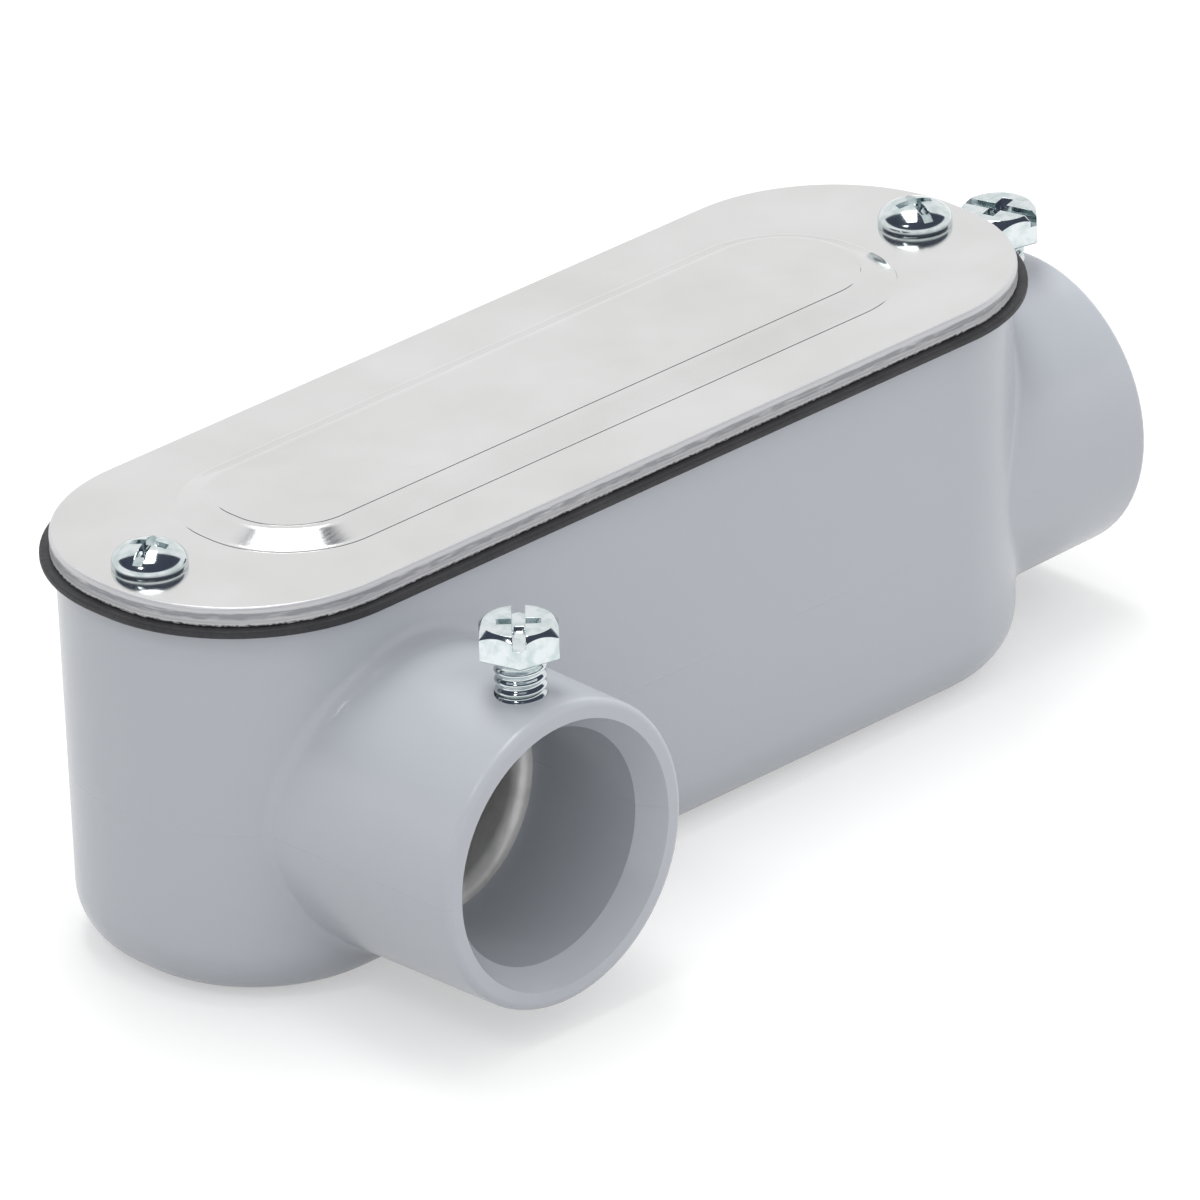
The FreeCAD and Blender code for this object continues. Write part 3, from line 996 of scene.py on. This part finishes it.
@dataclass
class Studio:
    """Pale floor, soft light all round with a panel overhead, and the camera."""

    floor_half: float = 4.0
    floor_gap: float = 0.02 * MM
    floor_colour: str = "#CFCFCF"
    floor_lift: float = 0.42
    room_colour: str = "#FFFFFF"
    room_levels: Pair = (0.58, 1.06)    # light from the dimmer and the brighter side
    bright_side: float = -25.0          # degrees from the camera's right, towards the front if negative
    flag_colour: str = "#454A58"
    backdrop_edge: Pair = (-0.50, -0.455)           # how far forward the backdrop reaches overhead
    flag_foot: Pair = (0.33, 0.42)      # heights between which the flags begin
    panel_width: float = 0.34
    panel_length: float = 0.78
    panel_distance: float = 1.0
    panel_aside: float = -0.075
    panel_lean: float = 11.5            # degrees from straight above, away from the camera
    panel_power: float = 4.2
    fill_size: float = 0.16
    fill_distance: float = 1.2
    fill_aside: float = -38.0           # degrees to the camera's right, and to its left if negative
    fill_height: float = 52.0           # degrees above the floor
    fill_power: float = 0.9
    azimuth: float = -43.67
    elevation: float = 26.01
    roll: float = -1.96
    aim_shift: Pair = (-7.23 * MM, 25.4 * MM)
    distance: float = 1957.98 * MM
    lens: float = 485.0
    sensor: float = 36.0
    cover_thickness: float = 2.5 * MM

    def seen(self, tree: NodeTree) -> NodeSocket:
        """Adds 1 for rays from the camera, mirror-like and clear surfaces, and 0 for the light itself."""
        rays = add_node(tree, "ShaderNodeLightPath")
        direct = calculated(tree, "MAXIMUM", rays.outputs["Is Camera Ray"], rays.outputs["Is Glossy Ray"])
        return calculated(tree, "MAXIMUM", direct, rays.outputs["Is Transmission Ray"])

    def level_axes(self) -> tuple[Vector, Vector]:
        """The level directions to the camera's right and towards the camera."""
        cosine, sine = math.cos(math.radians(self.azimuth)), math.sin(math.radians(self.azimuth))
        return Vector((cosine, sine, 0.0)), Vector((sine, -cosine, 0.0))

    def camera_axes(self) -> tuple[Vector, Vector, Vector]:
        """The camera's right, up and backward directions, tilt included."""
        above, tilt = math.radians(self.elevation), math.radians(self.roll)
        right, towards = self.level_axes()
        back = towards * math.cos(above) + Vector((0.0, 0.0, math.sin(above)))
        up = back.cross(right)
        cosine, sine = math.cos(tilt), math.sin(tilt)
        return right * cosine + up * sine, up * cosine - right * sine, back

    def build_room(self) -> None:
        """Makes the world: soft light, a white backdrop, and dark flags overhead that only gloss shows."""
        world = bpy.data.worlds.new("studio")
        bpy.context.scene.world = world
        world.use_nodes = True
        tree = world.node_tree
        tree.nodes.clear()
        aside, towards = self.level_axes()
        place = add_node(tree, "ShaderNodeTexCoord").outputs["Generated"]
        height = add_node(tree, "ShaderNodeSeparateXYZ", {"Vector": place}).outputs["Z"]
        before_backdrop = ranged(tree, along(tree, place, towards), self.backdrop_edge, (0.0, 1.0))
        above_foot = ranged(tree, height, self.flag_foot, (0.0, 1.0))
        flag = calculated(tree, "MULTIPLY", before_backdrop, above_foot)
        rays = add_node(tree, "ShaderNodeLightPath")
        mirrored = calculated(tree, "SUBTRACT", 1.0, rays.outputs["Is Camera Ray"])
        share = calculated(tree, "MULTIPLY", flag, mirrored)
        picture = mixed(tree, share, linear(self.room_colour), linear(self.flag_colour))
        shown = add_node(tree, "ShaderNodeBackground", {"Color": picture, "Strength": 1.0})
        turn = math.radians(self.bright_side)
        brighter = aside * math.cos(turn) - towards * math.sin(turn)
        level = ranged(tree, along(tree, place, brighter), (-1.0, 1.0), self.room_levels)
        light = add_node(tree, "ShaderNodeBackground", {"Color": linear(self.room_colour), "Strength": level})
        either = add_node(tree, "ShaderNodeMixShader",
                          {0: self.seen(tree), 1: light.outputs[0], 2: shown.outputs[0]})
        add_node(tree, "ShaderNodeOutputWorld", {"Surface": either.outputs[0]})

    def build_floor(self) -> None:
        """Makes the floor, which looks white but keeps the object's shadow."""
        half = self.floor_half
        corners = [(-half, -half), (half, -half), (half, half), (-half, half)]
        floor = from_points("floor", [(x, y, -self.floor_gap) for x, y in corners], [(0, 1, 2, 3)])
        material, tree = empty_material("matt_paper_sweep")
        matt = add_node(tree, "ShaderNodeBsdfDiffuse", {"Color": linear(self.floor_colour)})
        level = ranged(tree, self.seen(tree), (0.0, 1.0), (0.0, self.floor_lift))
        lift = add_node(tree, "ShaderNodeEmission", {"Color": linear(self.room_colour), "Strength": level})
        both = add_node(tree, "ShaderNodeAddShader", {0: matt.outputs[0], 1: lift.outputs[0]})
        add_node(tree, "ShaderNodeOutputMaterial", {"Surface": both.outputs[0]})
        floor.data.materials.append(material)

    def hang(self, name: str, sizes: Pair, power: float, middle: Vector, aside: Vector) -> None:
        """Hangs a soft rectangular lamp that faces the object.

        Args:
            name: The lamp's name.
            sizes: Its width along aside and its length, in metres.
            power: Its power in watts.
            middle: Where its middle is.
            aside: The direction of its width.
        """
        lamp = bpy.data.lights.new(name, "AREA")
        lamp.shape = "RECTANGLE"
        lamp.size, lamp.size_y = sizes
        lamp.energy = power
        back = (middle - aside * middle.dot(aside)).normalized()
        linked(name, lamp).matrix_world = placed(middle, (aside, back.cross(aside), back))

    def build_lamps(self) -> None:
        """Hangs the panel over the object, and a small fill at its left front."""
        aside, towards = self.level_axes()
        lean = math.radians(self.panel_lean)
        overhead = Vector((0.0, 0.0, math.cos(lean))) - towards * math.sin(lean)
        self.hang("overhead_panel", (self.panel_width, self.panel_length), self.panel_power,
                  overhead * self.panel_distance + aside * self.panel_aside, aside)
        turn, rise = math.radians(self.fill_aside), math.radians(self.fill_height)
        level = towards * math.cos(turn) + aside * math.sin(turn)
        across = aside * math.cos(turn) - towards * math.sin(turn)
        place = (level * math.cos(rise) + Vector((0.0, 0.0, math.sin(rise)))) * self.fill_distance
        self.hang("side_fill", (self.fill_size, self.fill_size), self.fill_power, place, across)

    def build_camera(self) -> None:
        """Places the camera at its angle, aimed from the middle of the cover's face."""
        right, up, back = axes = self.camera_axes()
        top = Vector((0.0, 0.0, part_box("cover")[0].z + self.cover_thickness))
        shift_x, shift_y = self.aim_shift
        camera = linked("camera", bpy.data.cameras.new("camera"))
        camera.data.lens = self.lens
        camera.data.sensor_width = self.sensor
        camera.matrix_world = placed(top - right * shift_x - up * shift_y + back * self.distance, axes)
        bpy.context.scene.camera = camera

    def build(self) -> None:
        """Sets up the room, the floor, the light and the camera."""
        bpy.context.scene.view_settings.view_transform = "Standard"
        self.build_room()
        self.build_floor()
        self.build_lamps()
        self.build_camera()


def main() -> None:
    """Builds every piece in order and sets the stage."""
    logging.basicConfig(level=logging.INFO, format="%(message)s")
    Studio().build()
    Casting().build()
    Gasket().build()
    Cover().build()
    zinc = ZincPlate().material()
    CoverScrew("cover_screw_side_hub_end", Body.SIDE_END_COVER_SCREW, turn=26.0).build(zinc)
    CoverScrew("cover_screw_end_hub_end", Body.FAR_END_COVER_SCREW, turn=70.0).build(zinc)
    SetScrew("side_hub_set_screw", Body.SIDE_SET_SCREW, turn=46.3).build(zinc)
    SetScrew("end_hub_set_screw", Body.END_SET_SCREW, turn=106.3).build(zinc)


if __name__ == "__main__":
    main()
